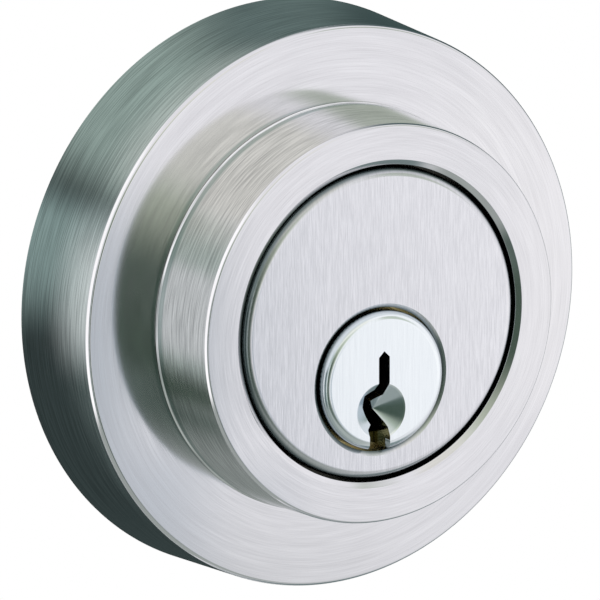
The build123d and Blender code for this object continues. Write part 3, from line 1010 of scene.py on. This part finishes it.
@dataclass
class Studio:
    """White tent, dark cards, pale floor and the camera."""

    centre: Vector = field(default_factory=lambda: Vector((4.107 * MM, 0, -2.594 * MM)))
    camera_azimuth: float = -32.043
    camera_elevation: float = 13.735
    camera_distance: float = 2.0
    camera_reach: float = 20.0
    lens: float = 1095.91
    sensor: float = 36.0
    dim_light: float = 0.7
    lamp_azimuth: float = 25.0
    lamp_elevation: float = 50.0
    lamp_distance: float = 1.5
    lamp_size: float = 1.2
    lamp_power: float = 12.0
    floor_height: float = -0.3
    floor_size: float = 6.0
    floor_colour: Colour = (0.85, 0.85, 0.85)
    board_inner: float = 31.0 * MM
    board_outer: float = 47.0 * MM
    board_y: float = 0.3 * MM
    board_sides: int = 96
    dome_radius: float = 0.22
    dome_segments: int = 64
    dome_rings: int = 32
    tent: Colour = TENT
    patches: tuple[Patch, ...] = (
        Patch(ALL_ROUND, (-91, -90, -31, -19), (0.84, 0.84, 0.87)),
        Patch((-181, -180, 20, 45), (-91, -90, -31, -16), (0.40, 0.44, 0.42)),
        Patch((32, 35, 60, 70), (-18, -15, -8, -4), (1.06, 1.06, 1.07)),
        Patch((75, 95, 150, 178), (-75, -50, 50, 75), (0.10, 0.15, 0.15)),
        Patch((30, 45, 150, 178), (-85, -75, -50, -34), (0.20, 0.26, 0.26)),
        Patch((-38, -30, 12, 24), (20, 30, 50, 60), (0.90, 0.90, 0.84)),
        Patch((24, 31, 42, 50), (0, 8, 26, 36), (0.52, 0.58, 0.50)),
        Patch((-60, -50, -30, -24), (-34, -20, 18, 30), (0.54, 0.63, 0.59)),
        Patch((-76, -68, -54, -49), (-40, -30, 4, 14), (0.14, 0.19, 0.19)),
        Patch((-50, -46, -38, -35.5), (-22, -13, 8, 15), (0.80, 0.84, 0.84)),
        Patch((-40, -32, -4, 18), (-12, 4, 22, 32), (0.60, 0.66, 0.54)),
        Patch((-37, -35, -22, 8), (-38, -28, 2, 30), (0.07, 0.105, 0.08)),
        Patch((-30, -22, -16, 34), (-42, -33, -28, -17), (0.11, 0.15, 0.13)),
        Patch((6, 12, 23.3, 24.0), (-24, -19, -11, -6), (0.47, 0.53, 0.58)),
        Patch((6, 12, 24.6, 27), (-26, -22, -18.2, -16.6), (0.58, 0.63, 0.68)),
        Patch((-150, -130, -84, -78), (-40, -30, 40, 60), (1.3, 1.3, 1.3)),
    )
    board_dark: Colour = (0.035, 0.05, 0.05)
    board_lights: tuple[Patch, ...] = (
        Patch(ALL_ROUND, (36, 43, 60, 61), (0.13, 0.17, 0.165)),
        Patch((60, 84, 104, 124), WHOLE_WIDTH, (0.12, 0.17, 0.165)),
        Patch((-6, 13, 20, 31), WHOLE_WIDTH, (0.23, 0.32, 0.31)),
        Patch((24, 42, 60, 86), WHOLE_WIDTH, (0.30, 0.39, 0.36)),
        Patch((-18, 0, 12, 31), (35, 43, 60, 61), (0.66, 0.72, 0.72)),
        Patch((28, 44, 70, 95), (36, 44, 60, 61), (0.55, 0.61, 0.58)),
        Patch(ALL_ROUND, (41.3, 47, 60, 61), TENT),
        Patch((95, 120, 180, 181), WHOLE_WIDTH, (0.05, 0.08, 0.08)),
        Patch((-181, -180, -130, -100), WHOLE_WIDTH, (0.05, 0.08, 0.08)),
    )

    def camera(self) -> None:
        """Set up the camera at the photograph's angle."""
        data = bpy.data.cameras.new("camera")
        data.lens = self.lens
        data.sensor_width = self.sensor
        data.clip_end = self.camera_reach
        camera = bpy.data.objects.new("camera", data)
        bpy.context.scene.collection.objects.link(camera)
        heading = direction(self.camera_azimuth, self.camera_elevation)
        camera.location = self.centre + heading * self.camera_distance
        camera.rotation_euler = heading.to_track_quat("Z", "Y").to_euler()
        bpy.context.scene.camera = camera

    def world(self) -> None:
        """White all round, with plainer light for rough surfaces."""
        world = bpy.data.worlds.new("tent")
        bpy.context.scene.world = world
        world.use_nodes = True
        graph = Graph(world.node_tree)
        level = graph.span(graph.seen(), 0.0, 1.0, self.dim_light, 1.0)
        tent = graph.add("ShaderNodeBackground", {0: rgba(WHITE), 1: level})
        graph.add("ShaderNodeOutputWorld", {0: tent.outputs[0]})

    def floor(self) -> None:
        """Lay the pale floor well below the lock."""
        bpy.ops.object.select_all(action="DESELECT")
        bpy.ops.mesh.primitive_plane_add(size=self.floor_size, location=(0, 0, self.floor_height))
        floor = bpy.context.object
        floor.name = "floor"
        material, graph = node_material("pale_floor")
        matt = graph.add("ShaderNodeBsdfDiffuse", {0: rgba(self.floor_colour)})
        white = graph.add("ShaderNodeEmission", {0: rgba(WHITE), 1: 1.0})
        blend = graph.add("ShaderNodeMixShader", {0: graph.seen(), 1: matt.outputs[0], 2: white.outputs[0]})
        graph.add("ShaderNodeOutputMaterial", {0: blend.outputs[0]})
        floor.data.materials.append(material)

    def door_board(self) -> None:
        """Put a dark ring in the door's plane, which the rose's wall mirrors."""
        bpy.ops.object.select_all(action="DESELECT")
        bpy.ops.mesh.primitive_circle_add(
            vertices=self.board_sides,
            radius=self.board_inner,
            fill_type="NOTHING",
            location=(0, self.board_y, 0),
            rotation=(pi / 2, 0, 0),
        )
        board = bpy.context.object
        board.name = "door_board"
        bpy.ops.object.transform_apply(location=True, rotation=True, scale=True)
        bpy.ops.object.mode_set(mode="EDIT")
        bpy.ops.mesh.select_all(action="SELECT")
        bpy.ops.mesh.extrude_edges_move()
        growth = self.board_outer / self.board_inner
        bpy.ops.transform.resize(value=(growth, 1, growth), center_override=(0, self.board_y, 0))
        bpy.ops.object.mode_set(mode="OBJECT")
        material, graph = node_material("door_board")
        place = graph.add("ShaderNodeTexCoord").outputs["Object"]
        x, _, z = graph.add("ShaderNodeSeparateXYZ", {0: place}).outputs
        _, radius = graph.arm(place)
        rise = graph.math("DEGREES", graph.math("ARCTAN2", z, graph.math("MULTIPLY", x, -1.0)))
        distance = graph.math("DIVIDE", radius, MM)
        shade = graph.flat(self.board_dark)
        for light in self.board_lights:
            shade = light.paint(graph, rise, distance, shade)
        show_in_mirrors(board, material, graph, shade)

    def dome(self) -> None:
        """Surround the lock with what its metal mirrors: a white tent with dark areas."""
        bpy.ops.object.select_all(action="DESELECT")
        bpy.ops.mesh.primitive_uv_sphere_add(
            segments=self.dome_segments, ring_count=self.dome_rings, radius=self.dome_radius
        )
        dome = bpy.context.object
        dome.name = "dome"
        material, graph = node_material("dome")
        place = graph.add("ShaderNodeTexCoord").outputs["Object"]
        heading = graph.add("ShaderNodeVectorMath", {0: place}, operation="NORMALIZE").outputs[0]
        x, y, z = graph.add("ShaderNodeSeparateXYZ", {0: heading}).outputs
        turn = graph.math("DEGREES", graph.math("ARCTAN2", x, graph.math("MULTIPLY", y, -1.0)))
        rise = graph.math("DEGREES", graph.math("ARCSINE", z))
        shade = graph.flat(self.tent)
        for patch in self.patches:
            shade = patch.paint(graph, turn, rise, shade)
        show_in_mirrors(dome, material, graph, shade)

    def lamp(self) -> None:
        """Add a wide soft lamp that lights the floor without showing in the metal."""
        data = bpy.data.lights.new("soft_lamp", "AREA")
        data.energy = self.lamp_power
        data.size = self.lamp_size
        lamp = bpy.data.objects.new("soft_lamp", data)
        bpy.context.scene.collection.objects.link(lamp)
        heading = direction(self.lamp_azimuth, self.lamp_elevation)
        lamp.location = heading * self.lamp_distance
        lamp.rotation_euler = heading.to_track_quat("Z", "Y").to_euler()
        lamp.visible_glossy = False

    def build(self) -> None:
        """Set up everything around the lock."""
        self.camera()
        self.world()
        self.floor()
        self.lamp()
        self.door_board()
        self.dome()
        bpy.context.scene.view_settings.view_transform = "Standard"


def main() -> None:
    """Build and dress the lock piece by piece, then the studio."""
    logging.basicConfig(level=logging.INFO, format="%(message)s")
    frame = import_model()
    for group in (Rose, Cylinder, PinStacks, Back):
        assembly = group(frame)
        for piece in assembly.build():
            LOG.info("%s: %d faces", piece.name, len(piece.data.polygons))
        assembly.dress()
    Studio().build()


if __name__ == "__main__":
    main()
